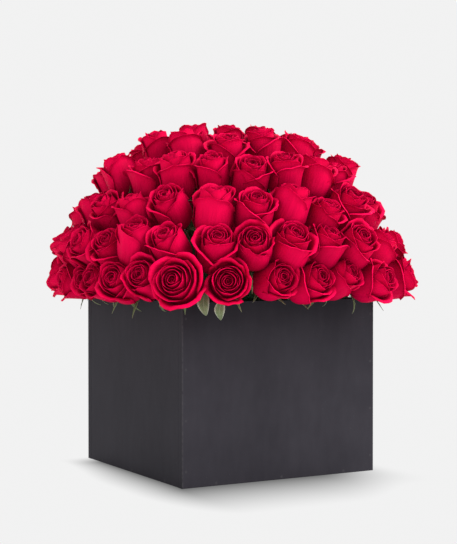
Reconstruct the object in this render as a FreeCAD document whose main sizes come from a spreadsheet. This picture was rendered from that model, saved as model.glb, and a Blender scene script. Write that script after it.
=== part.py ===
import FreeCAD, Part
import math
import os
import Sketcher

# Flower box: a square painted box of thin boards, nailed at the corners, with a lift-out
# insert.  The insert is a plastic liner tray packed with wet foam, and a dome of cut roses
# whose stems are pushed into the foam.  Origin: centre of the box's underside, +Z up.
# The front wall faces -Y.  Millimetres.

doc = FreeCAD.newDocument("flower_box")
sheet = doc.addObject("Spreadsheet::Sheet", "Sizes")

SIZES = {
    # the box
    "box_width": 250, "box_height": 200, "board": 9, "arris": 0.6,
    "base_thick": 6, "brad_diameter": 1.6, "brad_length": 25, "brad_sink": 1.5,
    "plug_diameter": 3, "brad_margin": 18, "brads_per_corner": 4,
    # the liner tray and the foam
    "liner_gap": 3, "liner_wall": 1.5, "liner_height": 186, "liner_corner": 10,
    "foam_gap": 0.5, "brick_height": 80, "crown_radius": 180, "crown_top": 275,
    # one rose head, its hip and its stem
    "bloom_length": 54, "bloom_neck": 4.5, "lower_belly": 15.5, "upper_belly": 19,
    "belly_height": 34, "bloom_mouth": 11, "hip_length": 9, "hip_radius": 6,
    "stem_radius": 3,
    # the two leaflets at the near corner
    "leaflet_length": 26, "leaflet_width": 14, "leaflet_thick": 1.2,
}
for row, (alias, value) in enumerate(SIZES.items(), start=1):
    sheet.set(f"A{row}", alias)
    sheet.set(f"B{row}", str(value))
    sheet.setAlias(f"B{row}", alias)
doc.recompute()


def size(alias):
    """A driving dimension, read back from the sheet."""
    return float(getattr(sheet, alias))


def bind(obj, **formulas):
    """Bind properties of an object to the sheet; __ in a name stands for a dot."""
    for name, formula in formulas.items():
        obj.setExpression(name.replace("__", "."), formula)
    return obj


def new(kind, label, **formulas):
    """A document object with its label and its bound sizes."""
    obj = doc.addObject(kind, label)
    obj.Label = label
    return bind(obj, **formulas)


def origin_plane(body, role):
    return next(f for f in body.Origin.OriginFeatures if f.Role == role)


def new_sketch(body, label, role):
    sketch = body.newObject("Sketcher::SketchObject", label)
    sketch.AttachmentSupport = [(origin_plane(body, role), "")]
    sketch.MapMode = "FlatFace"
    return sketch


def place_point(sketch, geometry, point, name, x_formula, y_formula):
    """Hold one point of a sketch at two bound distances from the sketch's origin."""
    for axis, formula in (("X", x_formula), ("Y", y_formula)):
        label = name + axis.lower()
        start = getattr(sketch.getPoint(geometry, point), axis.lower())
        number = sketch.addConstraint(
            Sketcher.Constraint("Distance" + axis, -1, 1, geometry, point, start))
        sketch.renameConstraint(number, label)
        sketch.setExpression("Constraints." + label, formula)


def rectangle(sketch, width, height, x_start="0", y_start="0"):
    """A rectangle with its lower left corner at the start, and its size bound."""
    corners = [(0, 0), (1, 0), (1, 1), (0, 1)]
    points = [FreeCAD.Vector(10 + 50 * x, 10 + 50 * y, 0) for x, y in corners]
    for i in range(4):
        sketch.addGeometry(Part.LineSegment(points[i], points[(i + 1) % 4]))
    for i in range(4):
        sketch.addConstraint(Sketcher.Constraint("Coincident", i, 2, (i + 1) % 4, 1))
    for i, direction in enumerate(("Horizontal", "Vertical", "Horizontal", "Vertical")):
        sketch.addConstraint(Sketcher.Constraint(direction, i))
    place_point(sketch, 0, 1, "low_", x_start, y_start)
    place_point(sketch, 2, 1, "high_", f"{x_start} + {width}", f"{y_start} + {height}")


def edges_where(shape, test):
    """Names of the straight edges whose middle and direction pass a test."""
    names = []
    for number, edge in enumerate(shape.Edges, start=1):
        first, last = edge.Vertexes[0].Point, edge.Vertexes[-1].Point
        if test((first + last) / 2, last - first):
            names.append(f"Edge{number}")
    return names


# ---------------------------------------------------------------- the box's boards
# Each board is drawn lying along +X with its outer face at y = 0, then turned and moved
# to its side of the box.  The front and back boards cover the ends of the side boards.

def board_body(label, length):
    body = new("PartDesign::Body", label + "_blank")
    outline = new_sketch(body, label + "_outline", "XZ_Plane")
    rectangle(outline, length, "Sizes.box_height")
    pad = bind(body.newObject("PartDesign::Pad", label + "_pad"), Length="Sizes.board")
    pad.Profile = outline
    pad.Reversed = True
    doc.recompute()
    eased = body.newObject("PartDesign::Fillet", label + "_arrises")
    eased.Base = (pad, edges_where(pad.Shape, lambda middle, _: abs(middle.y) < 1e-6))
    bind(eased, Radius="Sizes.arris")
    return body


FULL = "Sizes.box_width"
BETWEEN = "(Sizes.box_width - 2 * Sizes.board)"
front_blank = board_body("front_wall", FULL)
back_blank = board_body("back_wall", FULL)
left_blank = board_body("left_wall", BETWEEN)
right_blank = board_body("right_wall", BETWEEN)

for blank, turn, x_formula, y_formula in (
        (front_blank, 0, f"-{FULL} / 2", f"-{FULL} / 2"),
        (back_blank, 180, f"{FULL} / 2", f"{FULL} / 2"),
        (left_blank, -90, f"-{FULL} / 2", f"{BETWEEN} / 2"),
        (right_blank, 90, f"{FULL} / 2", f"-{BETWEEN} / 2")):
    blank.Placement.Rotation = FreeCAD.Rotation(FreeCAD.Vector(0, 0, 1), turn)
    bind(blank, Placement__Base__x=x_formula, Placement__Base__y=y_formula)

base_blank = new("Part::Box", "base_panel_blank", Length=BETWEEN, Width=BETWEEN,
                 Height="Sizes.base_thick", Placement__Base__x=f"-{BETWEEN} / 2",
                 Placement__Base__y=f"-{BETWEEN} / 2")

# Steel brads go in from the front and back faces, into the ends of the side boards, and
# from all four faces into the edges of the base.  A dab of filler covers each sunk head.

def brad_and_plug(name, turn, across, height):
    """One brad driven inwards from the front face, turned about Z to its own face."""
    pieces = []
    for kind, radius, length, depth in (
            ("brad", "Sizes.brad_diameter / 2", "Sizes.brad_length", "Sizes.brad_sink"),
            ("plug", "Sizes.plug_diameter / 2", "Sizes.brad_sink", "0")):
        pin = new("Part::Cylinder", f"{kind}_{name}", Radius=radius, Height=length)
        outward = FreeCAD.Rotation(FreeCAD.Vector(0, 0, 1), turn)
        pin.Placement.Rotation = outward * FreeCAD.Rotation(FreeCAD.Vector(1, 0, 0), -90)
        cosine, sine = round(math.cos(math.radians(turn))), round(math.sin(math.radians(turn)))
        inset = f"(-{FULL} / 2 + {depth})"
        bind(pin, Placement__Base__x=f"{cosine} * ({across}) - {sine} * {inset}",
             Placement__Base__y=f"{sine} * ({across}) + {cosine} * {inset}",
             Placement__Base__z=height)
        pieces.append(pin)
    return pieces


corner_pins = []
base_pins = []
per_corner = int(size("brads_per_corner"))
for turn in (0, 180):
    for side in (-1, 1):
        for level in range(per_corner):
            across = f"{side} * (Sizes.box_width - Sizes.board) / 2"
            height = (f"Sizes.brad_margin + {level} * (Sizes.box_height - 2 * Sizes.brad_margin)"
                      f" / {per_corner - 1}")
            corner_pins.append(brad_and_plug(f"corner_{turn}_{side}_{level}".replace("-", "m"),
                                             turn, across, height))
for turn in (0, 90, 180, 270):
    for place in (-1, 0, 1):
        across = f"{place} * Sizes.box_width / 3"
        base_pins.append(brad_and_plug(f"base_{turn}_{place}".replace("-", "m"),
                                       turn, across, "Sizes.base_thick / 2"))


def compound(label, links):
    group = new("Part::Compound", label)
    group.Links = links
    return group


corner_brads = compound("corner_brads", [brad for brad, plug in corner_pins])
base_brads = compound("base_brads", [brad for brad, plug in base_pins])
filler = compound("brad_filler", [plug for brad, plug in corner_pins + base_pins])
fixings = compound("fixing_holes", [corner_brads, base_brads, filler])


def drilled(label, blank):
    """A board with the holes that its brads and plugs fill."""
    cut = new("Part::Cut", label)
    cut.Base = blank
    cut.Tool = fixings
    return cut


boards = [drilled("front_wall", front_blank), drilled("back_wall", back_blank),
          drilled("left_wall", left_blank), drilled("right_wall", right_blank),
          drilled("base_panel", base_blank)]

# ---------------------------------------------------------------- liner tray and foam
# A thin moulded tray stands on the base and keeps the water off the boards.

LINER = "(Sizes.box_width - 2 * Sizes.board - 2 * Sizes.liner_gap)"
liner = new("PartDesign::Body", "liner_tray")
liner_outline = new_sketch(liner, "liner_outline", "XY_Plane")
rectangle(liner_outline, LINER, LINER)
liner_block = bind(liner.newObject("PartDesign::Pad", "liner_block"),
                   Length="Sizes.liner_height")
liner_block.Profile = liner_outline
doc.recompute()
liner_rounded = liner.newObject("PartDesign::Fillet", "liner_rounded")
liner_rounded.Base = (liner_block, edges_where(
    liner_block.Shape, lambda middle, along: abs(along.z) > 1 or middle.z < 1e-6))
bind(liner_rounded, Radius="Sizes.liner_corner")
doc.recompute()
rim_face = max(range(len(liner_rounded.Shape.Faces)),
               key=lambda i: liner_rounded.Shape.Faces[i].CenterOfMass.z)
liner_shell = liner.newObject("PartDesign::Thickness", "liner_shell")
liner_shell.Base = (liner_rounded, [f"Face{rim_face + 1}"])
liner_shell.Reversed = True
bind(liner_shell, Value="Sizes.liner_wall")
bind(liner, Placement__Base__x=f"-{LINER} / 2", Placement__Base__y=f"-{LINER} / 2",
     Placement__Base__z="Sizes.base_thick")

# Foam bricks fill the tray in two layers laid crosswise, and a carved block stands proud
# of the rim to carry the upper roses.  Every block keeps clear of the tray's rounded foot.

FOAM = f"({LINER} - 2 * Sizes.liner_wall - 2 * Sizes.foam_gap)"
FOAM_FOOT = "(Sizes.base_thick + Sizes.liner_wall)"


def foam_brick(label, turned, side, layer):
    """Half a layer of foam; side is 0 for the lower half of its axis, 1 for the upper."""
    half = f"{FOAM} / 2"
    sizes = (FOAM, half) if turned else (half, FOAM)
    shift = f"{side - 1} * {half}"
    starts = (f"-{half}", shift) if turned else (shift, f"-{half}")
    brick = new("Part::Box", label + "_block", Length=sizes[0], Width=sizes[1],
                Height="Sizes.brick_height", Placement__Base__x=starts[0],
                Placement__Base__y=starts[1],
                Placement__Base__z=f"{FOAM_FOOT} + {layer} * Sizes.brick_height")
    doc.recompute()
    outer = size("box_width") / 2 - size("board") - size("liner_gap") - 5
    corners = edges_where(brick.Shape, lambda middle, along:
                          (abs(along.z) > 1 and max(abs(middle.x), abs(middle.y)) > outer
                           and min(abs(middle.x), abs(middle.y)) > 1)
                          or (layer == 0 and middle.z < size("brick_height") / 2
                              and abs(along.z) < 1
                              and max(abs(middle.x), abs(middle.y)) > outer))
    rounded = new("Part::Fillet", label)
    rounded.Base = brick
    radius = size("liner_corner") - size("liner_wall")
    rounded.Edges = [(int(name[4:]), radius, radius) for name in corners]
    return rounded


foam = [foam_brick("lower_foam_left", False, 0, 0), foam_brick("lower_foam_right", False, 1, 0),
        foam_brick("upper_foam_front", True, 0, 1), foam_brick("upper_foam_back", True, 1, 1)]

CROWN_FOOT = f"({FOAM_FOOT} + 2 * Sizes.brick_height)"
crown_block = new("Part::Box", "crown_block", Length=FOAM, Width=FOAM,
                  Height=f"Sizes.crown_top - {CROWN_FOOT}", Placement__Base__x=f"-{FOAM} / 2",
                  Placement__Base__y=f"-{FOAM} / 2", Placement__Base__z=CROWN_FOOT)
crown_rounded = new("Part::Fillet", "crown_rounded")
crown_rounded.Base = crown_block
doc.recompute()
crown_radius = size("liner_corner") - size("liner_wall")
crown_rounded.Edges = [(int(name[4:]), crown_radius, crown_radius) for name in edges_where(
    crown_block.Shape, lambda middle, along: abs(along.z) > 1)]
crown_ball = new("Part::Sphere", "crown_ball", Radius="Sizes.crown_radius",
                 Placement__Base__z="Sizes.crown_top - Sizes.crown_radius")
crown = new("Part::Common", "crown_foam")
crown.Base = crown_rounded
crown.Tool = crown_ball
foam.append(crown)

# ---------------------------------------------------------------- one rose
# A rose head is a goblet: it swells from the neck to the belly, then draws in to the mouth.
# The two lowest rings are squeezed between their neighbours, so their bellies are slimmer.

def flat(x, y):
    return FreeCAD.Vector(x, y, 0)


def end_at(sketch, geometry, target):
    """Which end of a curve, 1 or 2, lies at a point."""
    first = sketch.getPoint(geometry, 1)
    return 1 if (first - target).Length < 0.01 else 2


def bloom_body(label, belly_alias):
    neck = flat(size("bloom_neck"), 0)
    belly = flat(size(belly_alias), size("belly_height"))
    mouth = flat(size("bloom_mouth"), size("bloom_length"))
    bottom, top = flat(0, 0), flat(0, mouth.y)
    lower_bulge = flat(0.72 * belly.x, 0.42 * belly.y)
    upper_bulge = flat(0.92 * belly.x, 0.55 * belly.y + 0.45 * mouth.y)
    form = new("PartDesign::Body", label)
    profile = new_sketch(form, label + "_profile", "XZ_Plane")
    profile.addGeometry(Part.LineSegment(bottom, neck))
    profile.addGeometry(Part.Arc(neck, lower_bulge, belly))
    profile.addGeometry(Part.Arc(belly, upper_bulge, mouth))
    profile.addGeometry(Part.LineSegment(mouth, top))
    profile.addGeometry(Part.LineSegment(top, bottom))
    for one, other, point in ((0, 1, neck), (1, 2, belly), (2, 3, mouth), (3, 4, top),
                              (4, 0, bottom)):
        profile.addConstraint(Sketcher.Constraint(
            "Coincident", one, end_at(profile, one, point),
            other, end_at(profile, other, point)))
    profile.addConstraint(Sketcher.Constraint("Coincident", 0, 1, -1, 1))
    profile.addConstraint(Sketcher.Constraint("Horizontal", 0))
    profile.addConstraint(Sketcher.Constraint("Horizontal", 3))
    profile.addConstraint(Sketcher.Constraint("Vertical", 4))
    place_point(profile, 1, end_at(profile, 1, belly), "belly_",
                "Sizes." + belly_alias, "Sizes.belly_height")
    place_point(profile, 2, end_at(profile, 2, mouth), "mouth_",
                "Sizes.bloom_mouth", "Sizes.bloom_length")
    bound = [("neck_out", Sketcher.Constraint("DistanceX", 0, 1, 0, 2, neck.x), "bloom_neck")]
    for arc in (1, 2):
        bound.append((f"centre_{arc}", Sketcher.Constraint("DistanceY", -1, 1, arc, 3, belly.y),
                      "belly_height"))
    for name, constraint, alias in bound:
        profile.renameConstraint(profile.addConstraint(constraint), name)
        profile.setExpression("Constraints." + name, "Sizes." + alias)
    turned = form.newObject("PartDesign::Revolution", label + "_turned")
    turned.Profile = profile
    turned.ReferenceAxis = (profile, ["V_Axis"])
    turned.Angle = 360
    return form


lower_bloom = bloom_body("lower_bloom", "lower_belly")
upper_bloom = bloom_body("upper_bloom", "upper_belly")

# The hip is the swelling of the stem under the petals, and it carries the sepals.
hip_form = new("Part::Cone", "hip_form", Radius1="Sizes.stem_radius",
               Radius2="Sizes.hip_radius", Height="Sizes.hip_length",
               Placement__Base__z="-Sizes.hip_length")
doc.recompute()

# ---------------------------------------------------------------- the dome of roses
# The roses stand in rings round the Z axis.  For each ring: the name, how far out and how
# high the mouths of the blooms are, how far the heads look up (degrees), how much further
# out the ring runs at the box's corners, where the cut ends of the stems sit in the foam
# (out, up), how uneven the ring is, and the bearings of the roses in degrees, from the
# front (-Y) towards +X.  Unevenness is the most that a head strays up or down and out or
# in, in millimetres, and as many degrees more or less that it looks up.

RINGS = [
    ("rim", 208, 226.5, 12, 0.07, (88, 196), 2.5,
     [-136, -121, -105, -91, -78.5, -66.5, -55, -43.5, -29, -13.5, 1, 14, 29, 46, 62, 77, 92,
      107, 122, 137, 153, 171, 185, 198, 211]),
    ("second", 200, 272.7, 42, 0.02, (80, 207), 2.5,
     [-129, -113, -97, -86, -74.5, -62, -47.5, -33, -20, -7.5, 7, 21, 36.5, 52, 68, 84, 100,
      116, 132, 148, 163.5, 177, 194, 212]),
    ("third", 175, 316.5, 58, 0, (60, 215), 5,
     [-131, -114, -98, -83, -67, -51, -34.5, -19.5, -4.5, 11, 28, 45, 62, 79, 96, 113, 130,
      147, 164, 181, 198, 214]),
    ("fourth", 141, 358, 67, 0, (40, 225), 5,
     [-131, -112, -91.5, -72, -54, -36, -18, -1, 17.5, 36, 55, 74, 93, 112, 131, 150, 170,
      190, 210]),
    ("fifth", 99, 388, 75, 0, (25, 235), 5,
     [-117, -87, -57, -29, -1, 28, 57, 86, 116, 147, 178, 210]),
    ("sixth", 48, 401.5, 82, 0, (12, 240), 1.5, [-90, -30, 30, 90, 150, 210]),
    ("top", 0, 400, 90, 0, (0, 242), 0, [0]),
]
UP = FreeCAD.Vector(0, 0, 1)


def rose_places(ring_number):
    """The neck, the axis and the cut end of the stem of each rose in one ring."""
    _, reach, height, look_up, corner_swell, foot, uneven, bearings = RINGS[ring_number]
    for number, bearing in enumerate(bearings):
        angle = math.radians(bearing)
        outward = FreeCAD.Vector(math.sin(angle), -math.cos(angle), 0)
        swell = 1 - corner_swell * math.cos(4 * angle)
        higher = uneven * math.sin(2.4 * number + ring_number)
        further = 0.6 * uneven * math.sin(3.9 * number + 2 * ring_number)
        tilt = math.radians(look_up + uneven * math.sin(5.3 * number + ring_number))
        axis = outward * math.cos(tilt) + UP * math.sin(tilt)
        mouth = outward * (reach * swell + further) + UP * (height + higher)
        neck = mouth - axis * size("bloom_length")
        cut_end = outward * (foot[0] * swell) + UP * foot[1]
        yield neck, axis, cut_end


def feature(label, shape):
    """A piece whose shape is worked out here, because it is many copies at odd angles."""
    piece = new("Part::Feature", label)
    piece.Shape = shape
    piece.Placement = FreeCAD.Placement()
    return piece


roses = []
for ring_number, ring in enumerate(RINGS):
    bloom_form = lower_bloom if ring_number < 2 else upper_bloom
    blooms, hips, stems = [], [], []
    for neck, axis, cut_end in rose_places(ring_number):
        stand = FreeCAD.Placement(neck, FreeCAD.Rotation(UP, axis))
        for form, group in ((bloom_form, blooms), (hip_form, hips)):
            copy = form.Shape.copy()
            copy.Placement = stand.multiply(copy.Placement)
            group.append(copy)
        hip_foot = neck - axis * size("hip_length")
        run = hip_foot - cut_end
        stems.append(Part.makeCylinder(size("stem_radius"), run.Length, cut_end, run))
    roses.append(feature(f"{ring[0]}_blooms", Part.makeCompound(blooms)))
    roses.append(feature(f"{ring[0]}_hips", Part.makeCompound(hips)))
    roses.append(feature(f"{ring[0]}_stems", Part.makeCompound(stems)))

# Two leaflets hang between the rim roses beside the near left corner.
leaflet_form = new("PartDesign::Body", "leaflet_form")
leaf_outline = new_sketch(leaflet_form, "leaf_outline", "XZ_Plane")
LEAF_TIP = flat(0, size("leaflet_length"))
for half_width in (size("leaflet_width") / 2, -size("leaflet_width") / 2):
    leaf_outline.addGeometry(
        Part.Arc(flat(0, 0), flat(half_width, LEAF_TIP.y / 2), LEAF_TIP))
for end_point in (flat(0, 0), LEAF_TIP):
    leaf_outline.addConstraint(Sketcher.Constraint(
        "Coincident", 0, end_at(leaf_outline, 0, end_point),
        1, end_at(leaf_outline, 1, end_point)))
root_end = end_at(leaf_outline, 0, flat(0, 0))
leaf_outline.addConstraint(Sketcher.Constraint("Coincident", 0, root_end, -1, 1))
leaf_outline.addConstraint(Sketcher.Constraint("PointOnObject", 0, 3 - root_end, -2))
leaf_outline.addConstraint(Sketcher.Constraint("Equal", 0, 1))
tip_up = leaf_outline.addConstraint(
    Sketcher.Constraint("DistanceY", -1, 1, 0, 3 - root_end, LEAF_TIP.y))
leaf_outline.renameConstraint(tip_up, "leaf_length")
leaf_outline.setExpression("Constraints.leaf_length", "Sizes.leaflet_length")
leaf_radius = (LEAF_TIP.y ** 2 + size("leaflet_width") ** 2) / (4 * size("leaflet_width"))
bulge = leaf_outline.addConstraint(Sketcher.Constraint("Radius", 0, leaf_radius))
leaf_outline.renameConstraint(bulge, "leaf_bulge")
leaf_outline.setExpression(
    "Constraints.leaf_bulge",
    "(Sizes.leaflet_length * Sizes.leaflet_length + Sizes.leaflet_width * Sizes.leaflet_width)"
    " / (4 * Sizes.leaflet_width)")
leaf_pad = bind(leaflet_form.newObject("PartDesign::Pad", "leaf_pad"),
                Length="Sizes.leaflet_thick")
leaf_pad.Profile = leaf_outline
doc.recompute()

# For each leaflet: its bearing, how far out and how high its root is, how far it hangs
# away from straight down, and how far it is swung sideways (degrees).
LEAFLETS = [(-37, 177, 210, 20, 4), (-31, 186, 202, 14, -4)]
leaves = []
for bearing, out, up, lean, swing in LEAFLETS:
    angle = math.radians(bearing)
    root = FreeCAD.Vector(math.sin(angle) * out, -math.cos(angle) * out, up)
    hang = (FreeCAD.Rotation(UP, bearing)
            * FreeCAD.Rotation(FreeCAD.Vector(1, 0, 0), 180 - lean)
            * FreeCAD.Rotation(FreeCAD.Vector(0, 1, 0), swing))
    leaf = leaflet_form.Shape.copy()
    leaf.Placement = FreeCAD.Placement(root, hang).multiply(leaf.Placement)
    leaves.append(leaf)
leaflets = feature("corner_leaflets", Part.makeCompound(leaves))

# ---------------------------------------------------------------- check and write
doc.recompute()
faults = [obj.Label for obj in doc.Objects
          if "Invalid" in obj.State or "Error" in obj.State]
if faults:
    raise RuntimeError(f"these objects failed: {faults}")

nodes = boards + [corner_brads, base_brads, filler, liner] + foam + roses + [leaflets]
for node in nodes:
    if node.Shape.isNull() or not node.Shape.isValid():
        raise RuntimeError(f"{node.Label} has no valid shape")

os.makedirs("parts", exist_ok=True)
for node in nodes:
    node.Shape.exportStep(f"parts/{node.Label}.step")
    box = node.Shape.BoundBox
    print(f"{node.Label}: {len(node.Shape.Solids)} solids, volume {node.Shape.Volume:.0f}, "
          f"x {box.XMin:.1f} {box.XMax:.1f}, y {box.YMin:.1f} {box.YMax:.1f}, "
          f"z {box.ZMin:.1f} {box.ZMax:.1f}")
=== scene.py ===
import bmesh
import bpy
import math
import random
from mathutils import Euler, Matrix, Vector


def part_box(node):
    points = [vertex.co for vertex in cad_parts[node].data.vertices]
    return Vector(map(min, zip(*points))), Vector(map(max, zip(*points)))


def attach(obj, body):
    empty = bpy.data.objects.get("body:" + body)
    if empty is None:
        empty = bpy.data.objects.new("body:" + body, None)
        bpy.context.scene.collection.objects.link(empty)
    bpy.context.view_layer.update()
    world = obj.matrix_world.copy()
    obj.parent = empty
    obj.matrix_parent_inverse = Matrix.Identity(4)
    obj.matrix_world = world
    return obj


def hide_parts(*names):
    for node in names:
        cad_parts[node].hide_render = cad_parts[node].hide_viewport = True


bpy.ops.wm.read_factory_settings(use_empty=True)
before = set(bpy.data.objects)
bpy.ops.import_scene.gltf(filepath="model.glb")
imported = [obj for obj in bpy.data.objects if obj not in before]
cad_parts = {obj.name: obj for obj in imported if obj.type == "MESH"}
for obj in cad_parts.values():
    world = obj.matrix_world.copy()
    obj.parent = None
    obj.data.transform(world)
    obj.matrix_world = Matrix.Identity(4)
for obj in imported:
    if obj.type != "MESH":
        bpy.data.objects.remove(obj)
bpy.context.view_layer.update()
MM = 0.001

# ------------------------------------------------------------------ the painted boards
# Four walls and a base of thin fibreboard, butted and nailed, then rolled with a matte
# charcoal paint.  The paint shows the roller's fine stipple, a faint upright drag, and a
# slightly worn, paler line along the arrises.


class Field:
    """A value that varies over a surface, so that a formula reads as plain arithmetic."""

    def __init__(self, tree, socket):
        self.tree = tree
        self.socket = socket

    def maths(self, operation, *values):
        node = self.tree.nodes.new("ShaderNodeMath")
        node.operation = operation
        for slot, value in zip(node.inputs, values):
            if isinstance(value, Field):
                self.tree.links.new(value.socket, slot)
            else:
                slot.default_value = value
        return Field(self.tree, node.outputs[0])

    def __add__(self, other):
        return self.maths("ADD", self, other)

    def __radd__(self, other):
        return self.maths("ADD", other, self)

    def __sub__(self, other):
        return self.maths("SUBTRACT", self, other)

    def __rsub__(self, other):
        return self.maths("SUBTRACT", other, self)

    def __mul__(self, other):
        return self.maths("MULTIPLY", self, other)

    def __rmul__(self, other):
        return self.maths("MULTIPLY", other, self)

    def __truediv__(self, other):
        return self.maths("DIVIDE", self, other)

    def __pow__(self, other):
        return self.maths("POWER", self, other)

    def __abs__(self):
        return self.maths("ABSOLUTE", self)

    def sin(self):
        return self.maths("SINE", self)

    def cos(self):
        return self.maths("COSINE", self)

    def most(self, other):
        return self.maths("MAXIMUM", self, other)

    def least(self, other):
        return self.maths("MINIMUM", self, other)

    def ramp(self, low, high):
        """0 below low, 1 above high, and a straight rise between them."""
        return ((self - low) / (high - low)).most(0.0).least(1.0)

    def ease(self, low, high):
        """As ramp, with soft ends."""
        share = self.ramp(low, high)
        return share * share * (3.0 - 2.0 * share)


def between(first, second, share):
    return first + (second - first) * share


def mottling():
    """The shader group of cloudy unevenness that every finish here is built up from."""
    group = bpy.data.node_groups.new("mottling", "ShaderNodeTree")
    group.interface.new_socket("Place", in_out="INPUT", socket_type="NodeSocketVector")
    for label in ("Scale", "Detail", "Roughness"):
        group.interface.new_socket(label, in_out="INPUT", socket_type="NodeSocketFloat")
    group.interface.new_socket("Amount", in_out="OUTPUT", socket_type="NodeSocketFloat")
    given = group.nodes.new("NodeGroupInput")
    texture = group.nodes.new("ShaderNodeTexNoise")
    group.links.new(given.outputs["Place"], texture.inputs["Vector"])
    for label in ("Scale", "Detail", "Roughness"):
        group.links.new(given.outputs[label], texture.inputs[label])
    group.links.new(texture.outputs["Fac"], group.nodes.new("NodeGroupOutput").inputs["Amount"])
    return group


MOTTLING = mottling()


class Finish:
    """One material: its tree, its Principled BSDF, and short ways to add the usual nodes."""

    def __init__(self, name, roughness, specular, **constants):
        self.material = bpy.data.materials.new(name)
        self.material.use_nodes = True
        self.tree = self.material.node_tree
        self.shader = self.tree.nodes["Principled BSDF"]
        self.shader.inputs["Roughness"].default_value = roughness
        self.shader.inputs["Specular IOR Level"].default_value = specular
        for socket, value in constants.items():
            self.shader.inputs[socket.replace("_", " ")].default_value = value
        self.place = self.tree.nodes.new("ShaderNodeTexCoord").outputs["Object"]

    def link(self, source, target):
        self.tree.links.new(source.socket if isinstance(source, Field) else source, target)

    def stored(self, name, output="Fac"):
        """A value, or with output Vector a vector, that was stored on the mesh."""
        node = self.tree.nodes.new("ShaderNodeAttribute")
        node.attribute_name = name
        return Field(self.tree, node.outputs[output])

    def plan(self):
        """Where a point is along X and along Y."""
        node = self.tree.nodes.new("ShaderNodeSeparateXYZ")
        self.link(self.place, node.inputs["Vector"])
        return Field(self.tree, node.outputs["X"]), Field(self.tree, node.outputs["Y"])

    def openness(self, reach, samples):
        """How much of the view from a point is free of other surfaces, within a reach."""
        node = self.tree.nodes.new("ShaderNodeAmbientOcclusion")
        node.inputs["Distance"].default_value = reach
        node.samples = samples
        return Field(self.tree, node.outputs["AO"])

    def stretched(self, source, scale):
        node = self.tree.nodes.new("ShaderNodeMapping")
        node.inputs["Scale"].default_value = scale
        self.link(source, node.inputs["Vector"])
        return node.outputs["Vector"]

    def noise(self, source, scale, detail=3.0, roughness=0.5):
        node = self.tree.nodes.new("ShaderNodeGroup")
        node.node_tree = MOTTLING
        node.inputs["Scale"].default_value = scale
        node.inputs["Detail"].default_value = detail
        node.inputs["Roughness"].default_value = roughness
        self.link(source, node.inputs["Place"])
        return Field(self.tree, node.outputs["Amount"])

    def colours(self, share, *stops):
        """A colour ramp read at a share; each stop is (place, (r, g, b))."""
        node = self.tree.nodes.new("ShaderNodeValToRGB")
        while len(node.color_ramp.elements) < len(stops):
            node.color_ramp.elements.new(0.5)
        for element, (place, colour) in zip(node.color_ramp.elements, stops):
            element.position = place
            element.color = (*colour, 1.0)
        self.link(share, node.inputs["Fac"])
        return node.outputs["Color"]

    def blend(self, share, first, second):
        node = self.tree.nodes.new("ShaderNodeMix")
        node.data_type = "RGBA"
        self.link(share, node.inputs["Factor"])
        for value, slot in ((first, node.inputs["A"]), (second, node.inputs["B"])):
            if isinstance(value, tuple):
                slot.default_value = (*value, 1.0)
            else:
                self.link(value, slot)
        return node.outputs["Result"]

    def bump(self, height, distance):
        node = self.tree.nodes.new("ShaderNodeBump")
        node.inputs["Distance"].default_value = distance
        self.link(height, node.inputs["Height"])
        self.link(node.outputs["Normal"], self.shader.inputs["Normal"])

    def colour(self, source):
        self.link(source, self.shader.inputs["Base Color"])

    def glow(self, source):
        self.link(source, self.shader.inputs["Emission Color"])

    def rough(self, source):
        self.link(source, self.shader.inputs["Roughness"])


HALF_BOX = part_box("front_wall")[1].x    # from the middle of the box to a wall's outer face


def paint_finish():
    """Rolled charcoal paint; the wear comes from how near a point is to the box's edges."""
    finish = Finish("charcoal_paint", 0.6, 0.05)
    stipple = finish.noise(finish.place, 900.0, 3.0)
    drag = finish.noise(finish.stretched(finish.place, (110.0, 110.0, 30.0)), 1.0, 4.0)
    cloud = finish.noise(finish.place, 11.0, 5.0, 0.6)
    x, y = finish.plan()
    near_corner = abs(x).least(abs(y))
    chips = finish.noise(finish.place, 160.0, 4.0, 0.65)
    edge = near_corner.ramp(HALF_BOX - 1.6 * MM, HALF_BOX - 0.3 * MM) * chips.ramp(0.35, 0.7)
    specks = finish.noise(finish.place, 520.0, 1.0).ramp(0.74, 0.78)
    tone = cloud * 0.75 + drag * 0.25
    base = finish.colours(tone, (0.3, (0.026, 0.024, 0.030)), (0.7, (0.039, 0.036, 0.044)))
    worn = finish.blend(edge * 0.5, base, (0.12, 0.115, 0.12))
    finish.colour(finish.blend(specks * 0.35, worn, (0.10, 0.10, 0.105)))
    finish.rough(between(0.46, 0.66, cloud * 0.5 + stipple * 0.5))
    finish.bump(stipple * 0.7 + drag * 0.3 - specks * 0.3, 0.00012)
    return finish.material


def cover(node, material):
    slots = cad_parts[node].data.materials
    slots.clear()
    slots.append(material)


charcoal = paint_finish()
for board in ("front_wall", "back_wall", "left_wall", "right_wall", "base_panel"):
    cover(board, charcoal)

# ------------------------------------------------------------------ brads and filler
# Thin steel brads hold the corners and the base.  Their heads are punched under the
# surface, and a dab of filler is sanded over each and painted, so it shows as a dull dot.


def steel_finish():
    finish = Finish("drawn_steel", 0.35, 0.5, Metallic=1.0)
    lines = finish.noise(finish.stretched(finish.place, (2000.0, 2000.0, 60.0)), 1.0)
    finish.colour(finish.colours(lines, (0.3, (0.42, 0.42, 0.43)), (0.7, (0.62, 0.62, 0.63))))
    finish.rough(between(0.25, 0.45, lines))
    finish.bump(lines, 0.00002)
    return finish.material


def filler_finish():
    finish = Finish("painted_filler", 0.75, 0.2)
    grit = finish.noise(finish.place, 2500.0, 2.0)
    finish.colour(finish.colours(grit, (0.3, (0.030, 0.028, 0.034)), (0.75, (0.046, 0.043, 0.050))))
    finish.rough(between(0.66, 0.85, grit))
    finish.bump(grit, 0.00006)
    return finish.material


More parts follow.
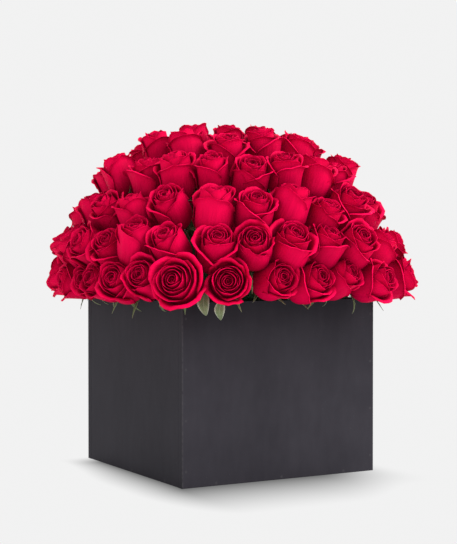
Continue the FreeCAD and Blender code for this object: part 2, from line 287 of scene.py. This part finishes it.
steel = steel_finish()
for brads in ("corner_brads", "base_brads"):
    cover(brads, steel)
cover("brad_filler", filler_finish())

# ------------------------------------------------------------------ liner tray and foam
# A vacuum-formed black plastic tray stands in the box and holds the water.  It is packed
# with bricks of fine green floral foam, soaked dark, and a carved block stands on top.


def liner_finish():
    finish = Finish("liner_plastic", 0.4, 0.5)
    ripple = finish.noise(finish.place, 60.0, 2.0)
    grain = finish.noise(finish.place, 1500.0, 2.0)
    finish.colour(finish.colours(ripple, (0.3, (0.012, 0.012, 0.013)), (0.7, (0.022, 0.022, 0.024))))
    finish.rough(between(0.3, 0.5, grain))
    finish.bump(ripple * 0.7 + grain * 0.3, 0.0002)
    return finish.material


def foam_finish():
    """Wet open-celled foam: tiny dark pores in a mossy green, paler where it has drained."""
    finish = Finish("floral_foam", 0.85, 0.25)
    cells = finish.tree.nodes.new("ShaderNodeTexVoronoi")
    cells.inputs["Scale"].default_value = 1100.0
    finish.link(finish.place, cells.inputs["Vector"])
    pores = Field(finish.tree, cells.outputs["Distance"])
    drained = finish.noise(finish.place, 30.0, 4.0)
    green = finish.colours(drained, (0.3, (0.012, 0.055, 0.022)), (0.7, (0.03, 0.11, 0.045)))
    finish.colour(finish.blend(pores.ramp(0.1, 0.5), (0.004, 0.02, 0.008), green))
    finish.rough(between(0.95, 0.7, pores))
    finish.bump(pores, 0.0006)
    return finish.material


cover("liner_tray", liner_finish())
wet_foam = foam_finish()
for block in ("lower_foam_left", "lower_foam_right", "upper_foam_front", "upper_foam_back",
              "crown_foam"):
    cover(block, wet_foam)

# ------------------------------------------------------------------ stems
# Each rose is cut short and its stem is pushed into the foam.  The stem is a smooth green
# rod with a faint waxy bloom, streaked lengthwise, and redder in patches.

RINGS = ("rim", "second", "third", "fourth", "fifth", "sixth", "top")


def stem_finish():
    finish = Finish("rose_stem", 0.5, 0.4)
    streaks = finish.noise(finish.place, 140.0, 4.0)
    blush = finish.noise(finish.place, 22.0, 2.0).ramp(0.45, 0.75)
    green = finish.colours(streaks, (0.3, (0.035, 0.075, 0.018)), (0.7, (0.085, 0.15, 0.04)))
    finish.colour(finish.blend(blush * 0.5, green, (0.12, 0.06, 0.03)))
    finish.rough(between(0.4, 0.65, streaks))
    finish.bump(streaks, 0.0002)
    return finish.material


stem_green = stem_finish()
for ring in RINGS:
    cover(ring + "_stems", stem_green)

# ------------------------------------------------------------------ where the roses stand
# The heads are put in ring by ring, from the rim up.  Each frame node of blooms holds one
# closed form for each head, whose flat mouth and neck give the place and the lean.


def solids_of(node):
    """The separate closed solids of a CAD node, each as a list of its faces."""
    whole = bmesh.new()
    whole.from_mesh(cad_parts[node].data)
    bmesh.ops.remove_doubles(whole, verts=whole.verts, dist=0.01 * MM)
    seen = set()
    groups = []
    for first in whole.faces:
        if first in seen:
            continue
        seen.add(first)
        group = [first]
        for face in group:                  # the group grows while it is walked
            for edge in face.edges:
                for neighbour in edge.link_faces:
                    if neighbour not in seen:
                        seen.add(neighbour)
                        group.append(neighbour)
        groups.append([(f.normal.copy(), f.calc_area(), f.calc_center_median(),
                        [v.co.copy() for v in f.verts]) for f in group])
    whole.free()
    return groups


def rose_stands(ring):
    """For each head of a ring, the matrix that stands +Z up from its neck to its mouth."""
    stands = []
    for faces in solids_of(ring + "_blooms"):
        flats = {}
        for normal, area, centre, _ in faces:
            key = tuple(round(part, 3) for part in normal)
            total, middle = flats.get(key, (0.0, Vector()))
            flats[key] = (total + area, middle + centre * area)
        key, (area, weighted) = max(flats.items(), key=lambda item: item[1][0])
        axis = Vector(key).normalized()
        mouth = weighted / area
        neck_depth = min((centre - mouth).dot(axis) for _, _, centre, _ in faces)
        side = axis.cross(Vector((0, 0, 1)))
        side = side.normalized() if side.length > 0.01 else Vector((1, 0, 0))
        stand = Matrix((side, axis.cross(side), axis)).transposed().to_4x4()
        stand.translation = mouth + axis * neck_depth
        stands.append(stand)
    return sorted(stands, key=lambda s: math.atan2(s.translation.x, -s.translation.y))


STANDS = {ring: rose_stands(ring) for ring in RINGS}


def named_tree(name, **sockets):
    """An empty Geometry Nodes tree with its named inputs; returns it and their identifiers."""
    tree = bpy.data.node_groups.new(name, "GeometryNodeTree")
    tree.interface.new_socket("Geometry", in_out="OUTPUT", socket_type="NodeSocketGeometry")
    identifiers = {}
    for label, (kind, value) in sockets.items():
        socket = tree.interface.new_socket(label, in_out="INPUT", socket_type="NodeSocket" + kind)
        if value is not None:
            socket.default_value = value
        identifiers[label] = socket.identifier
    return tree, identifiers


class Blades:
    """Inside a tree: many flat blades, each to be bent to shape by formulas.

    across runs -1 to 1 over a blade's width, along 0 to 1 up its length, and number counts
    the blades from 0."""

    def __init__(self, tree, count):
        self.tree = tree
        self.given = tree.nodes.new("NodeGroupInput").outputs
        grid = self.add("GeometryNodeMeshGrid", "Mesh")
        grid.node.inputs["Size X"].default_value = 2.0
        grid.node.inputs["Size Y"].default_value = 1.0
        self.wire(self.given["Points across"], grid.node.inputs["Vertices X"])
        self.wire(self.given["Points along"], grid.node.inputs["Vertices Y"])
        place = self.add("GeometryNodeInputPosition", "Position")
        flat = self.store(grid, "blade_place", "FLOAT_VECTOR", "POINT", place)
        blade = self.add("GeometryNodeGeometryToInstance", "Instances", Geometry=flat)
        copies = self.add("GeometryNodeDuplicateElements", "Geometry", Geometry=blade)
        copies.node.domain = "INSTANCE"
        self.wire(self.given[count], copies.node.inputs["Amount"])
        index = Field(tree, copies.node.outputs["Duplicate Index"])
        numbered = self.store(copies, "blade_number", "FLOAT", "INSTANCE", index)
        self.mesh = self.add("GeometryNodeRealizeInstances", "Geometry", Geometry=numbered)
        split = self.add("ShaderNodeSeparateXYZ", "X",
                         Vector=self.read("blade_place", "FLOAT_VECTOR"))
        self.across = split
        self.along = Field(tree, split.node.outputs["Y"]) + 0.5
        self.number = self.read("blade_number", "FLOAT")

    def add(self, kind, output, **inputs):
        node = self.tree.nodes.new(kind)
        for name, value in inputs.items():
            self.wire(value, node.inputs[name])
        result = Field(self.tree, node.outputs[output])
        result.node = node
        return result

    def wire(self, source, target):
        self.tree.links.new(source.socket if isinstance(source, Field) else source, target)

    def store(self, mesh, name, kind, domain, value):
        node = self.tree.nodes.new("GeometryNodeStoreNamedAttribute")
        node.data_type = kind
        node.domain = domain
        node.inputs["Name"].default_value = name
        self.wire(mesh, node.inputs["Geometry"])
        self.wire(value, node.inputs["Value"])
        return Field(self.tree, node.outputs["Geometry"])

    def read(self, name, kind):
        node = self.tree.nodes.new("GeometryNodeInputNamedAttribute")
        node.data_type = kind
        node.inputs["Name"].default_value = name
        return Field(self.tree, node.outputs["Attribute"])

    def chance(self, salt, low, high):
        """A number between low and high, the same all over one blade."""
        node = self.tree.nodes.new("FunctionNodeRandomValue")
        node.data_type = "FLOAT"
        node.inputs[2].default_value = low
        node.inputs[3].default_value = high
        self.wire(self.number, node.inputs["ID"])
        self.wire(Field(self.tree, self.given["Seed"]) * 31.0 + salt, node.inputs["Seed"])
        return Field(self.tree, node.outputs[1])

    def wind(self, out, turn, up, **kept):
        """Puts each point at its radius, angle and height, and keeps values for the finish."""
        self.lay(out * turn.cos(), out * turn.sin(), up, **kept)

    def lay(self, x, y, z, **kept):
        """Puts each point at its place, and ends the tree in a smooth mesh of one material."""
        place = self.add("ShaderNodeCombineXYZ", "Vector", X=x, Y=y, Z=z)
        mesh = self.add("GeometryNodeSetPosition", "Geometry", Geometry=self.mesh, Position=place)
        for name, value in kept.items():
            mesh = self.store(mesh, name, "FLOAT", "POINT", value)
        smooth = self.add("GeometryNodeSetShadeSmooth", "Geometry", Geometry=mesh)
        real = self.add("GeometryNodeRealizeInstances", "Geometry", Geometry=smooth)
        dressed = self.add("GeometryNodeSetMaterial", "Geometry", Geometry=real)
        self.wire(self.given["Material"], dressed.node.inputs["Material"])
        self.wire(dressed, self.tree.nodes.new("NodeGroupOutput").inputs[0])


def grown(name, tree, identifiers, thickness, **values):
    """The plain mesh that a tree makes with these values, as closed sheets of a thickness."""
    host = bpy.data.objects.new(name, bpy.data.meshes.new(name))
    bpy.context.scene.collection.objects.link(host)
    modifier = host.modifiers.new("grow", "NODES")
    modifier.node_group = tree
    for label, value in values.items():
        modifier[identifiers[label]] = value
    sheet = host.modifiers.new("thickness", "SOLIDIFY")
    sheet.thickness = thickness
    sheet.offset = 0.0
    graph = bpy.context.evaluated_depsgraph_get()
    graph.update()
    mesh = bpy.data.meshes.new_from_object(host.evaluated_get(graph))
    bpy.data.objects.remove(host)
    return mesh


def shown(name, mesh, node):
    """A finished piece of the insert, which stands for its CAD node."""
    mesh.name = name
    piece = bpy.data.objects.new(name, mesh)
    bpy.context.scene.collection.objects.link(piece)
    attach(piece, "arrangement")
    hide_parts(node)


# ------------------------------------------------------------------ the rose heads
# A cut rose is about two dozen petals wound in a spiral, each a golden angle on from the
# last.  The heart is a tight cone; the outer petals swell round it like a cup, draw in to
# the mouth and roll their lips outwards.  Velvety crimson, a painted highlight on the thin edges.

GOLDEN_ANGLE = math.radians(137.5)


def rose_tree():
    """One rose head, standing on its neck at the origin with its mouth up."""
    tree, identifiers = named_tree("rose_head", **{
        "Petals": ("Int", 22), "Points across": ("Int", 13), "Points along": ("Int", 13),
        "Length": ("Float", 50 * MM), "Belly": ("Float", 21 * MM), "Openness": ("Float", 0.5),
        "Seed": ("Int", 1), "Material": ("Material", None)})
    petal = Blades(tree, "Petals")
    length, belly, openness, seed, petals = (
        Field(tree, petal.given[label]) for label in
        ("Length", "Belly", "Openness", "Seed", "Petals"))
    across, number = petal.across, petal.number
    off_middle = abs(across)
    layer = number / (petals - 1.0)

    # Sizes of one petal, from the heart (layer 0) to the outside (layer 1).  Some of the
    # outer petals have opened and folded back; their neighbours are still upright.
    outer = layer.ramp(0.2, 1.0)
    free = layer.ramp(0.82, 0.90)
    opened = (openness * outer ** 1.5 + petal.chance(4, 0.0, 0.7) * layer.ramp(0.8, 0.9)
              + petal.chance(8, -0.06, 0.06)).most(0.0)
    belly_out = belly * between(0.12, 1.0, layer ** 0.8)
    mouth_out = (belly * (between(0.02, 0.70, layer ** 0.85) + 0.38 * opened)
                 + petal.chance(1, -1.0, 1.0) * MM * layer)
    tall = (length * (0.94 + 0.06 * layer.ramp(0.0, 0.3) - 0.14 * opened)
            + petal.chance(2, -2.0, 1.8) * MM)
    reach = between(2.9, 1.38, layer.ramp(0.0, 0.55) ** 0.7) + petal.chance(3, -0.1, 0.1)

    # The outline: a shield, cut well back at the sides, with a small point at the top.
    along = 1.0 - (1.0 - petal.along) ** 1.8
    outline = (1.0 - between(0.13, 0.30, layer) * off_middle ** 3.2
               + 0.05 * outer * (1.0 - off_middle * 2.0).most(0.0) ** 1.5)
    height = along * outline

    # The profile: out to the belly, in to the mouth, then the lip rolls outwards, most of
    # all at the two shoulders of the shield, which leaves its point standing.
    belly_at, lip_at = 0.42, 0.895
    rise = (height / belly_at).least(1.0)
    foot_out = between(1.0, 4.0, layer) * MM
    fall = ((height - belly_at).most(0.0) / (1.0 - belly_at)) ** 1.5
    out = (foot_out + (belly_out - foot_out) * (rise * math.pi / 2).sin() ** 0.8
           + (mouth_out - belly_out) * fall)
    curl = (0.05 + 0.5 * outer + 1.25 * opened) * between(
        1.0 - 0.8 * off_middle ** 1.2,
        0.95 + 0.9 * off_middle ** 1.5 * (1.0 - off_middle ** 3.0), free)
    lip = tall * (1.0 - lip_at) * outline * between(0.6, 1.0, layer)
    rolled = ((along - lip_at).most(0.0) / (1.0 - lip_at)) * curl
    out = out + lip / curl * (1.0 - rolled.cos())
    up = tall * outline * along.least(lip_at) + lip / curl * rolled.sin()

    # One side edge tucks under its neighbour.  The last few petals, with nothing outside
    # them, are free to flare at the sides, and their rims are wavy.
    upper = along.ramp(0.3, 1.0)
    flare = across.ease(0.5, 1.0) * (0.2 + 0.8 * opened)
    tuck = (across * -1.0).ease(0.4, 1.0) * 1.2
    overlap = across * (0.5 + 0.5 * free) * along.ramp(0.0, 0.3)
    held_in = off_middle ** 2.0 * (1.0 - free) * outer * 0.9
    out = out + ((flare - tuck) * upper * free + overlap - held_in) * MM

    near_rim = along ** 4.0
    broad_wave = (across * 4.3 + number * 2.1 + seed).sin() * 0.6
    narrow_wave = (across * 8.0 - number * 1.3).sin() * 0.35
    crumple = (across * 15.0 + number * 4.1).sin() * 0.32
    loose = 0.25 + 0.45 * layer + 1.2 * free
    out = out + (broad_wave + narrow_wave + crumple) * loose * near_rim * MM
    dips = (across * 3.6 + number * 1.7 + seed).sin() * (0.8 * layer + 0.7 * free)
    nicks = (across * 11.0 + number * 2.9).sin() * 0.5 * free
    up = up + (dips + nicks) * near_rim * MM

    # Each heart petal winds inwards from edge to edge, so that the heart reads as a spiral.
    heart = 1.0 - layer.ramp(0.0, 0.25)
    out = (out * (1.0 - 0.22 * across * heart)).most(0.2 * MM)
    lean = petal.chance(7, 0.0, 0.4) * height
    turn = (number * GOLDEN_ANGLE + across * reach * between(0.7, 1.0, (height * 2.0).least(1.0))
            + petal.chance(5, -0.14, 0.14) + lean)
    petal.wind(out, turn, up, petal_layer=layer, petal_height=along,
               petal_across=off_middle, petal_tint=petal.chance(6, 0.0, 1.0))
    return tree, identifiers


def petal_finish():
    """Crimson velvet, with painted shade low down and in the depths, a painted highlight or dried
    patches at the thin rim, and a faint painted glow.
    """
    finish = Finish("rose_petal", 0.6, 0.03, Sheen_Weight=0.18, Sheen_Roughness=0.4,
                    Sheen_Tint=(1.0, 0.0, 0.12, 1.0), Emission_Strength=0.1)
    layer, height = finish.stored("petal_layer"), finish.stored("petal_height")
    off_middle, tint = finish.stored("petal_across"), finish.stored("petal_tint")
    place = finish.stored("blade_place", "Vector")
    veins = finish.noise(finish.stretched(place, (26.0, 2.2, 1.0)), 1.0, 4.0, 0.6)
    folds = finish.noise(finish.stretched(place, (5.0, 1.5, 1.0)), 1.0, 2.0)
    mottle = finish.noise(finish.place, 110.0, 3.0)
    # Painted shade: the tone falls towards the foot of each petal and towards the heart, where shade
    # lies; the veins, folds, mottle and tint are the petal's own.
    tone = (layer.ramp(0.0, 0.6) * 0.22 - 0.24 + height * 0.55 + veins * 0.16 + mottle * 0.12
            + folds * 0.16 + tint * 0.17)
    body = finish.colours(tone, (0.15, (0.17, 0.0, 0.014)), (0.45, (0.52, 0.0, 0.042)),
                          (0.75, (0.86, 0.001, 0.068)), (1.0, (1.0, 0.002, 0.084)))
    # Painted highlight: a patchy brighter band along the thin top rim of each petal, where it
    # catches the light.
    rim = height.ramp(0.94, 1.0) * (1.0 - off_middle.ramp(0.5, 0.95))
    bright = finish.blend(rim * mottle.ramp(0.4, 0.65) * 0.55, body, (1.0, 0.0, 0.08))
    dried = height.ramp(0.965, 1.0) * (1.0 - mottle.ramp(0.4, 0.5))
    edged = finish.blend(dried * 0.55, bright, (0.22, 0.0, 0.015))
    # Painted shade: darker wherever other petals and heads close in round a point, within 40 mm.
    painted_shade = (1.0 - finish.openness(reach=40 * MM, samples=4)).ramp(0.15, 0.95) * 0.78
    shaded = finish.blend(painted_shade, edged, (0.08, 0.0, 0.008))
    finish.colour(shaded)
    # Painted light: the petals glow faintly with their own colour, standing in for light shining
    # through them.
    finish.glow(shaded)
    finish.rough(between(0.45, 0.65, mottle))
    finish.bump(folds * 0.8 + veins * 0.15 + mottle * 0.05, 0.0022)
    return finish.material


# How open the heads of each ring are, and how wide (mm).  The heads that stand out most, on
# the near corner's side, are each listed: how open, how far tipped up and to the left
# (degrees), and size.
OPENNESS = {"rim": 0.45, "second": 0.45, "third": 0.45, "fourth": 0.55, "fifth": 0.65,
            "sixth": 0.65, "top": 0.7}
BELLY = {"rim": 21.0, "second": 21.0, "third": 20.5, "fourth": 19.3, "fifth": 18.5,
         "sixth": 18.5, "top": 19.0}
SET_HEADS = {
    ("rim", 9): (0.40, 4, -4, 1.00), ("rim", 10): (0.35, 6, 2, 0.98),
    ("rim", 11): (1.00, 2, 2, 1.12), ("rim", 12): (0.50, -6, 0, 1.00),
    ("rim", 13): (0.25, 2, -16, 0.98), ("rim", 14): (0.45, 8, -12, 1.02),
    ("rim", 15): (0.30, 10, -10, 1.00), ("rim", 17): (0.85, 4, -4, 1.04),
    ("second", 8): (0.10, 22, -8, 1.05), ("second", 9): (0.30, 6, 8, 1.00),
    ("second", 10): (0.55, 4, -6, 1.03), ("second", 11): (0.15, -10, 6, 1.00),
    ("second", 12): (0.65, 8, -4, 1.06), ("second", 13): (0.75, 14, -6, 1.00),
    ("second", 14): (0.45, -4, 12, 1.04), ("second", 15): (0.35, 8, -6, 1.00),
    ("third", 9): (0.60, -8, 6, 1.00), ("third", 10): (0.20, 18, -4, 1.10),
    ("third", 11): (0.90, -8, -4, 1.02), ("third", 12): (0.35, 12, -8, 1.05),
    ("third", 13): (0.65, 4, -4, 0.92), ("third", 14): (0.60, -4, 8, 1.06),
    ("fourth", 7): (0.55, 12, 4, 1.04), ("fourth", 8): (0.45, 2, 2, 0.94),
    ("fourth", 9): (0.50, -10, 0, 1.06), ("fourth", 11): (0.60, 6, -6, 1.05),
    ("fifth", 5): (0.70, -6, 0, 1.04), ("fifth", 7): (0.65, 2, -4, 1.04),
    ("top", 1): (0.80, 0, 0, 0.92), ("sixth", 2): (0.60, -4, 0, 1.06),
    ("sixth", 3): (0.80, 0, -3, 0.96), ("sixth", 4): (0.55, 0, 0, 1.00),
    ("rim", 5): (0.35, 8, 0, 0.92),
    ("third", 4): (0.30, 12, 0, 0.92), ("third", 5): (0.35, 14, 0, 0.90),
    ("third", 6): (0.35, 10, 0, 0.95),
}
head_tree, head_inputs = rose_tree()
petal_red = petal_finish()
luck = random.Random(7)
HEAD_LENGTH = 55.0
PETAL_THICKNESS = 0.4
PIVOT_HEIGHT = 20.0             # a head tips about a point this far above its neck
OPEN_SPREAD, TIP_SPREAD = 0.22, 7.0
pivot = Matrix.Translation((0, 0, PIVOT_HEIGHT * MM))
for ring in RINGS:
    for count, stand in enumerate(STANDS[ring], start=1):
        openness = min(max(OPENNESS[ring] + luck.gauss(0, OPEN_SPREAD), 0.05), 1.0)
        up, left = luck.gauss(0, TIP_SPREAD), luck.gauss(0, TIP_SPREAD)
        size = luck.uniform(0.95, 1.05)
        openness, up, left, size = SET_HEADS.get((ring, count), (openness, up, left, size))
        head = grown("rose", head_tree, head_inputs, PETAL_THICKNESS * MM, Openness=openness,
                     Seed=luck.randrange(10000), Belly=BELLY[ring] * size * MM,
                     Length=HEAD_LENGTH * size * MM, Material=petal_red)
        nod = Euler((math.radians(up), math.radians(left), luck.uniform(0, math.tau)), "ZYX")
        head.transform(stand @ pivot @ nod.to_matrix().to_4x4() @ pivot.inverted())
        shown(f"rose_{ring}_{count:02d}", head, ring + "_blooms")

# ------------------------------------------------------------------ hips and sepals
# Under each head is the green hip with five narrow sepals.  Some still hug the petals and
# some curl back, so that thin green blades show between the heads and under the rim.


def sepal_tree():
    """The five sepals of one head, set round the top of its hip."""
    tree, identifiers = named_tree("calyx", **{
        "Sepals": ("Int", 5), "Points across": ("Int", 5), "Points along": ("Int", 12),
        "Length": ("Float", 29 * MM), "Width": ("Float", 4.6 * MM), "Seed": ("Int", 1),
        "Material": ("Material", None)})
    sepal = Blades(tree, "Sepals")
    length, width = (Field(tree, sepal.given[label]) for label in ("Length", "Width"))
    along, across = sepal.along, sepal.across
    start = sepal.chance(1, 0.85, 1.4)
    bend = sepal.chance(2, -0.99, 2.61)
    size = length * sepal.chance(3, 0.75, 1.15)
    angle = start + bend * along
    root = 5.4 * MM
    out = root + size / bend * (start.cos() - angle.cos())
    up = size / bend * (angle.sin() - start.sin()) - 1.0 * MM
    lobes = (along * 38.0 + sepal.number * 2.0).sin() * 0.3 + 1.0
    half = width * 0.5 * (1.0 - along) ** 0.75 * (0.75 + 0.5 * (along * 3.1).sin()) * lobes
    sideways = across * half
    cupped = across * across * half * 0.5
    out = out - cupped * angle.cos()
    up = up + cupped * angle.sin()
    spread = sepal.number * (math.tau / 5) + sepal.chance(4, -0.15, 0.15)
    sway = (along * 2.2).sin() * sepal.chance(5, -0.2, 0.2)
    turn = spread + sideways / out.most(3.0 * MM) + sway * along
    sepal.wind(out, turn, up, sepal_along=along, sepal_across=abs(across))
    return tree, identifiers


def sepal_finish():
    finish = Finish("rose_sepal", 0.6, 0.3, Sheen_Weight=0.2)
    along, across = finish.stored("sepal_along"), finish.stored("sepal_across")
    mottle = finish.noise(finish.place, 160.0, 4.0)
    green = finish.colours(mottle * 0.6 + along * 0.4, (0.2, (0.035, 0.075, 0.018)),
                           (0.6, (0.10, 0.17, 0.045)), (0.95, (0.20, 0.26, 0.09)))
    finish.colour(finish.blend(across.ramp(0.6, 1.0) * 0.5, green, (0.38, 0.36, 0.24)))
    finish.rough(between(0.5, 0.75, mottle))
    finish.bump(mottle, 0.0004)
    return finish.material


def hip_mesh(bm, rings=9, around=14):
    """The swollen hip: a small urn from the stem to the petals, closed at both ends."""
    foot, top, swell = 3.1 * MM, 5.0 * MM, 1.6 * MM
    lowest, tallness = -9.5 * MM, 10.5 * MM
    loops = []
    for step in range(rings):
        share = step / (rings - 1)
        radius = foot + (top - foot) * share + swell * math.sin(math.pi * share ** 0.8)
        up = lowest + tallness * share
        loops.append([bm.verts.new((radius * math.cos(math.tau * i / around),
                                    radius * math.sin(math.tau * i / around), up))
                      for i in range(around)])
    for lower, upper in zip(loops, loops[1:]):
        for i in range(around):
            j = (i + 1) % around
            bm.faces.new((lower[i], lower[j], upper[j], upper[i])).smooth = True
    bm.faces.new(reversed(loops[0]))
    bm.faces.new(loops[-1])


SEPAL_THICKNESS = 0.5
calyx_tree, calyx_inputs = sepal_tree()
sepal_green = sepal_finish()
for ring in RINGS:
    together = bmesh.new()
    for stand in STANDS[ring]:
        calyx = grown("calyx", calyx_tree, calyx_inputs, SEPAL_THICKNESS * MM,
                      Seed=luck.randrange(10000), Material=sepal_green)
        one = bmesh.new()
        one.from_mesh(calyx)
        hip_mesh(one)
        one.to_mesh(calyx)
        one.free()
        calyx.transform(stand @ Matrix.Rotation(luck.uniform(0, math.tau), 4, "Z"))
        together.from_mesh(calyx)
        bpy.data.meshes.remove(calyx)
    mesh = bpy.data.meshes.new("calyxes")
    together.to_mesh(mesh)
    together.free()
    mesh.materials.append(sepal_green)
    shown(f"calyxes_{ring}", mesh, ring + "_hips")

# ------------------------------------------------------------------ corner leaflets
# Two grey-green leaflets hang over the rim between the heads beside the near corner.  Each
# is folded along its midrib, waved and toothed at its pale margin, and curls at the tip.


def leaf_tree():
    """One leaflet, lying face up from its root at the origin along +Y."""
    tree, identifiers = named_tree("leaflet", **{
        "Leaves": ("Int", 1), "Points across": ("Int", 13), "Points along": ("Int", 45),
        "Length": ("Float", 26 * MM), "Width": ("Float", 14 * MM), "Fold": ("Float", 0.4),
        "Curl": ("Float", 0.3), "Seed": ("Int", 1), "Material": ("Material", None)})
    leaf = Blades(tree, "Leaves")
    length, width, fold, curl, seed = (
        Field(tree, leaf.given[label]) for label in ("Length", "Width", "Fold", "Curl", "Seed"))
    across, along = leaf.across, leaf.along
    off_middle = abs(across)
    teeth = (along * 75.0).sin() * 0.05 + 1.0
    half = (width * 0.5 * ((along ** 0.85) * math.pi).sin().most(0.0) ** 0.7 * teeth).most(0.3 * MM)
    sweep = (along * math.pi).sin() * 1.6 * MM
    wave = (along * 9.0 + seed).sin() * off_middle * 0.9 * MM
    rise = off_middle * half * fold + wave - length * curl * along * along
    leaf.lay(across * half + sweep, length * (along - curl * 0.3 * along * along), rise,
             leaf_across=across, leaf_along=along)
    return tree, identifiers


def leaf_finish():
    finish = Finish("rose_leaflet", 0.55, 0.25)
    across, along = finish.stored("leaf_across"), finish.stored("leaf_along")
    off_middle = abs(across)
    veins = ((along * 60.0 - off_middle * 18.0).sin() * 0.5 + 0.5) ** 4.0
    midrib = 1.0 - off_middle.ramp(0.03, 0.12)
    mottle = finish.noise(finish.place, 260.0, 4.0)
    green = finish.colours(mottle, (0.3, (0.14, 0.19, 0.09)), (0.7, (0.27, 0.33, 0.17)))
    veined = finish.blend((veins * 0.35).most(midrib * 0.7), green, (0.42, 0.47, 0.30))
    margin = (off_middle + (mottle - 0.5) * 0.2).ramp(0.72, 0.92)
    finish.colour(finish.blend(margin * 0.75, veined, (0.62, 0.64, 0.52)))
    finish.rough(between(0.45, 0.7, mottle))
    finish.bump(mottle * 0.4 - veins * 0.6, 0.0003)
    return finish.material


def leaf_stands():
    """For each leaflet, the matrix with +Y from its root to its tip and +Z off its face."""
    stands = []
    for faces in solids_of("corner_leaflets"):
        corners = [corner for _, _, _, corners in faces for corner in corners]
        root = max(corners, key=lambda c: c.z)
        tip = max(corners, key=lambda c: (c - root).length)
        face = max(faces, key=lambda f: f[1] * (f[0].dot(Vector((f[2].x, f[2].y, 0))) > 0))[0]
        along = (tip - root).normalized()
        side = along.cross(face).normalized()
        stand = Matrix((side, along, side.cross(along))).transposed().to_4x4()
        stand.translation = root
        stands.append(stand)
    return sorted(stands, key=lambda s: s.translation.x)


LEAF_THICKNESS = 0.5
LEAVES = ((25.0, 13.0, 0.45, 0.22, 3),      # length, width (mm), fold, curl and seed of each
          (22.0, 11.0, 0.80, 0.45, 8))
leaf_shape, leaf_inputs = leaf_tree()
leaf_green = leaf_finish()
leaves = bmesh.new()
for stand, (length, width, fold, curl, seed) in zip(leaf_stands(), LEAVES):
    leaf = grown("leaflet", leaf_shape, leaf_inputs, LEAF_THICKNESS * MM, Length=length * MM,
                 Width=width * MM, Fold=fold, Curl=curl, Seed=seed, Material=leaf_green)
    leaf.transform(stand)
    leaves.from_mesh(leaf)
    bpy.data.meshes.remove(leaf)
leaf_mesh = bpy.data.meshes.new("leaflets")
leaves.to_mesh(leaf_mesh)
leaves.free()
leaf_mesh.materials.append(leaf_green)
shown("leaflets", leaf_mesh, "corner_leaflets")

# ------------------------------------------------------------------ the stage
# A pale, even floor, one broad sun from the upper front right, and a bright sky,
# as in a light tent.  A soft contact shade lies on the floor along the two near walls.  The
# camera stands a little above the rim and looks at the front left corner.

PALE = 0.885                    # how bright the sky and the open floor are


def stage_floor(half_width=40.0):
    mesh = bpy.data.meshes.new("floor")
    corners = [(-half_width, -half_width, 0), (half_width, -half_width, 0),
               (half_width, half_width, 0), (-half_width, half_width, 0)]
    mesh.from_pydata(corners, [], [(0, 1, 2, 3)])
    floor = bpy.data.objects.new("floor", mesh)
    bpy.context.scene.collection.objects.link(floor)
    finish = Finish("pale_floor", 1.0, 0.0, Emission_Strength=1.0)
    x, y = finish.plan()
    left_width = between(62.0, 42.0, y.ease(-60 * MM, 100 * MM)) * MM
    front_width = between(154.0, 95.0, x.ease(0.0, 120 * MM)) * MM
    beside = (x * -1.0 - HALF_BOX).most(0.0) / left_width
    before = (y * -1.0 - HALF_BOX).most(0.0) / front_width
    away = ((beside ** 2.0 + before ** 2.0) ** 0.5).least(1.0)
    ends = (1.0 - x.ease(45 * MM, 160 * MM)) * (1.0 - y.ease(80 * MM, 135 * MM))
    deepest, fall_off = 0.8, 1.35
    shade = (1.0 - away) ** fall_off * ends * deepest
    finish.shader.inputs["Base Color"].default_value = (0.0, 0.0, 0.0, 1.0)
    finish.glow((1.0 - shade) * PALE)
    mesh.materials.append(finish.material)


def sky(strength):
    world = bpy.data.worlds.new("sky")
    bpy.context.scene.world = world
    world.use_nodes = True
    background = world.node_tree.nodes["Background"]
    background.inputs["Color"].default_value = (1.0, 1.0, 1.0, 1.0)
    background.inputs["Strength"].default_value = strength


def sun(strength, softness, azimuth, elevation):
    """A soft sun; azimuth is where it stands, from the front (-Y) towards +X."""
    data = bpy.data.lights.new("sun", "SUN")
    data.energy = strength
    data.angle = math.radians(softness)
    lamp = bpy.data.objects.new("sun", data)
    bpy.context.scene.collection.objects.link(lamp)
    lamp.rotation_euler = Euler((math.radians(90 - elevation), 0, math.radians(azimuth)), "XYZ")


def camera(lens, distance, height, aside, azimuth, look_down):
    data = bpy.data.cameras.new("camera")
    data.lens = lens
    data.sensor_width = 36.0
    data.clip_end = 200.0
    eye = bpy.data.objects.new("camera", data)
    bpy.context.scene.collection.objects.link(eye)
    angle = math.radians(azimuth)
    back = Vector((math.sin(angle), -math.cos(angle), 0))
    right = Vector((math.cos(angle), math.sin(angle), 0))
    eye.location = back * distance + right * aside + Vector((0, 0, height))
    eye.rotation_euler = Euler((math.radians(90 - look_down), 0, angle), "XYZ")
    bpy.context.scene.camera = eye


stage_floor()
sky(PALE)
sun(strength=2.8, softness=50.0, azimuth=38.0, elevation=40.0)
camera(lens=88.38, distance=1.5951, height=0.2542, aside=0.0024, azimuth=-29.56,
       look_down=0.881)
bpy.context.scene.view_settings.view_transform = "Standard"
